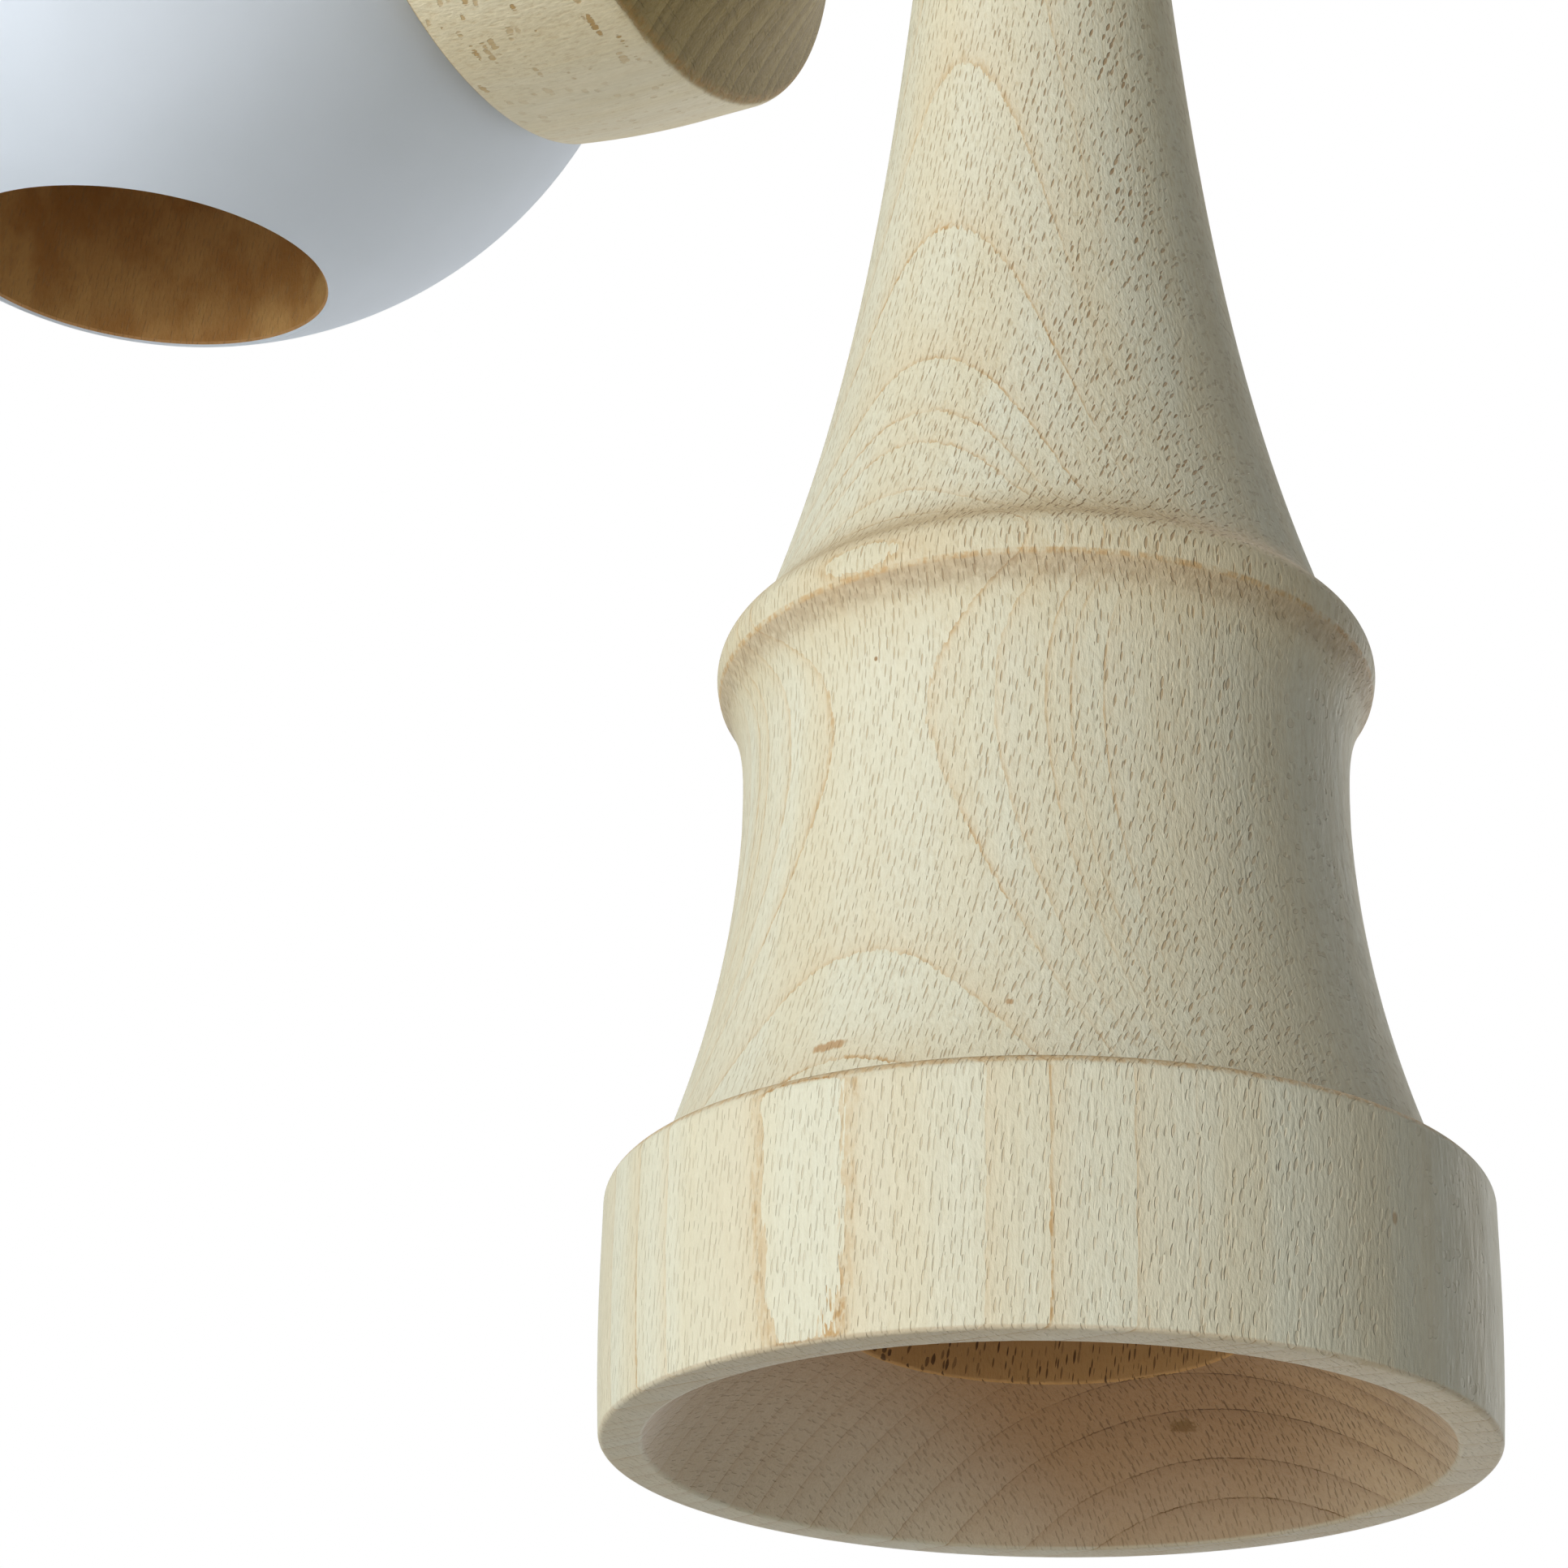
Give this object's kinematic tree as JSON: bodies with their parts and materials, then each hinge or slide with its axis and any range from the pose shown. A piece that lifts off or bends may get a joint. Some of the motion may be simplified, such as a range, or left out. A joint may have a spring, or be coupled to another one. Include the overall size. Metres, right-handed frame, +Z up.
{
  "type": "cup and ball toy",
  "caption": "Turned wooden cup and ball toy: a waisted handle with a base cup and spike, a cross-piece with side cups, and a bored white ball seated in the larger cup.",
  "frame": {"origin": "centre of the base cup's rim, on the handle's axis", "axes": "+Z up the handle to the spike's tip, -X along the cross-piece to the big cup and ball, +Y completes a right-handed frame"},
  "size_m": [0.1248, 0.06, 0.18],
  "materials": {
    "bare_wood": "fine-sanded, unvarnished",
    "white_paint": "matt paint over wood, bare inside its hole"
  },
  "bodies": {
    "handle_body": {"handle": "bare_wood"},
    "cross_body": {"crosspiece": "bare_wood"},
    "ball_body": {"ball": "white_paint"}
  },
  "joints": [
    {"name": "crosspiece_slide", "type": "slide", "parent": "handle_body", "child": "cross_body", "axis": [0, 0, 1], "range_m": [0, 0.09]},
    {"name": "ball_lift", "type": "slide", "parent": "cross_body", "child": "ball_body", "axis": [-0.766, 0, 0.6428], "range_m": [0, 0.3]}
  ]
}
